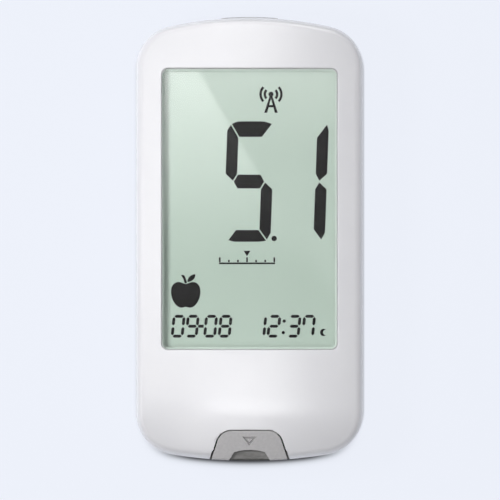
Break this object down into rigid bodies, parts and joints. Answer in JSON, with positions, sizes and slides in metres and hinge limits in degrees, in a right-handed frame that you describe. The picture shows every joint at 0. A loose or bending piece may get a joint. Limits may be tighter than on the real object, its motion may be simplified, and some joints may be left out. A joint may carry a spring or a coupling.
{
  "type": "blood glucose meter",
  "caption": "Hand-held blood glucose meter: tall rounded case with a large window, strip port with sliding ejector, end button and rear battery door.",
  "frame": {"origin": "middle of the footprint, on the surface that the rubber feet stand on, with the meter lying on its back", "axes": "+X to the right of the display, +Y to the top of the display, +Z out of the display"},
  "size_m": [0.05, 0.0982, 0.021],
  "materials": {
    "white_shell": "pearly white moulded plastic, satin to gloss",
    "grey_plastic": "mid-grey moulded plastic, fine matt texture",
    "dark_plastic": "dark grey moulded plastic",
    "clear_lens": "clear polished acrylic",
    "lcd_glass": "thin display glass with a polariser",
    "reflector_film": "pale green-grey reflector film",
    "pale_plastic": "pale moulded plastic",
    "black_plastic": "black moulded plastic",
    "conductive_rubber": "layered conductive silicone",
    "foot_rubber": "matt grey rubber",
    "board_laminate": "glass-epoxy laminate with green solder mask",
    "steel": "nickel-plated steel",
    "gold_contact": "gold-plated spring bronze",
    "cell_jacket": "plain dark printed jacket on a can, steel ends",
    "label_film": "blank matt label",
    "tape_film": "white double-sided tape"
  },
  "bodies": {
    "case": {"front_cover": "white_shell", "rear_cover": "white_shell", "back_label": "label_film", "case_screw_1": "steel", "case_screw_2": "steel", "case_screw_3": "steel", "case_screw_4": "steel", "foot_1": "foot_rubber", "foot_2": "foot_rubber", "foot_3": "foot_rubber", "foot_4": "foot_rubber", "display_lens": "clear_lens", "lens_tape": "tape_film", "lcd_front_glass": "lcd_glass", "lcd_rear_glass": "lcd_glass", "lcd_reflector": "reflector_film", "lcd_frame": "pale_plastic", "elastomer_strip": "conductive_rubber", "main_board": "board_laminate", "controller_chip": "black_plastic", "signal_chip": "black_plastic", "wireless_module": "steel", "crystal_can": "steel", "sounder": "black_plastic", "power_switch": "black_plastic", "set_switch": "black_plastic", "strip_port": "dark_plastic", "strip_contact_1": "gold_contact", "strip_contact_2": "gold_contact", "strip_contact_3": "gold_contact", "ejector_spring": "steel", "battery_cell_left": "cell_jacket", "battery_cell_right": "cell_jacket", "contact_bridge": "steel", "contact_left": "steel", "contact_right": "steel", "contact_spring_left": "steel", "contact_spring_right": "steel"},
    "door": {"battery_door": "white_shell"},
    "ejector": {"ejector_slider": "grey_plastic"},
    "power_key": {"power_button": "grey_plastic", "power_switch_plunger": "dark_plastic"},
    "set_key": {"set_button": "grey_plastic", "set_switch_plunger": "dark_plastic"}
  },
  "joints": [
    {"name": "ejector_slide", "type": "slide", "parent": "case", "child": "ejector", "axis": [0, -1, 0], "range_m": [0, 0.004], "stiffness_N_per_m": 250, "springref_m": -0.004, "deforming": ["ejector_spring"]},
    {"name": "battery_door_slide", "type": "slide", "parent": "case", "child": "door", "axis": [0, 1, 0], "range_m": [0, 0.062]},
    {"name": "power_button_press", "type": "slide", "parent": "case", "child": "power_key", "axis": [0, -1, 0], "range_m": [0, 0.0005], "stiffness_N_per_m": 1500, "springref_m": -0.0005},
    {"name": "set_button_press", "type": "slide", "parent": "case", "child": "set_key", "axis": [0, 0, 1], "range_m": [0, 0.0005], "stiffness_N_per_m": 1500, "springref_m": -0.0005}
  ]
}
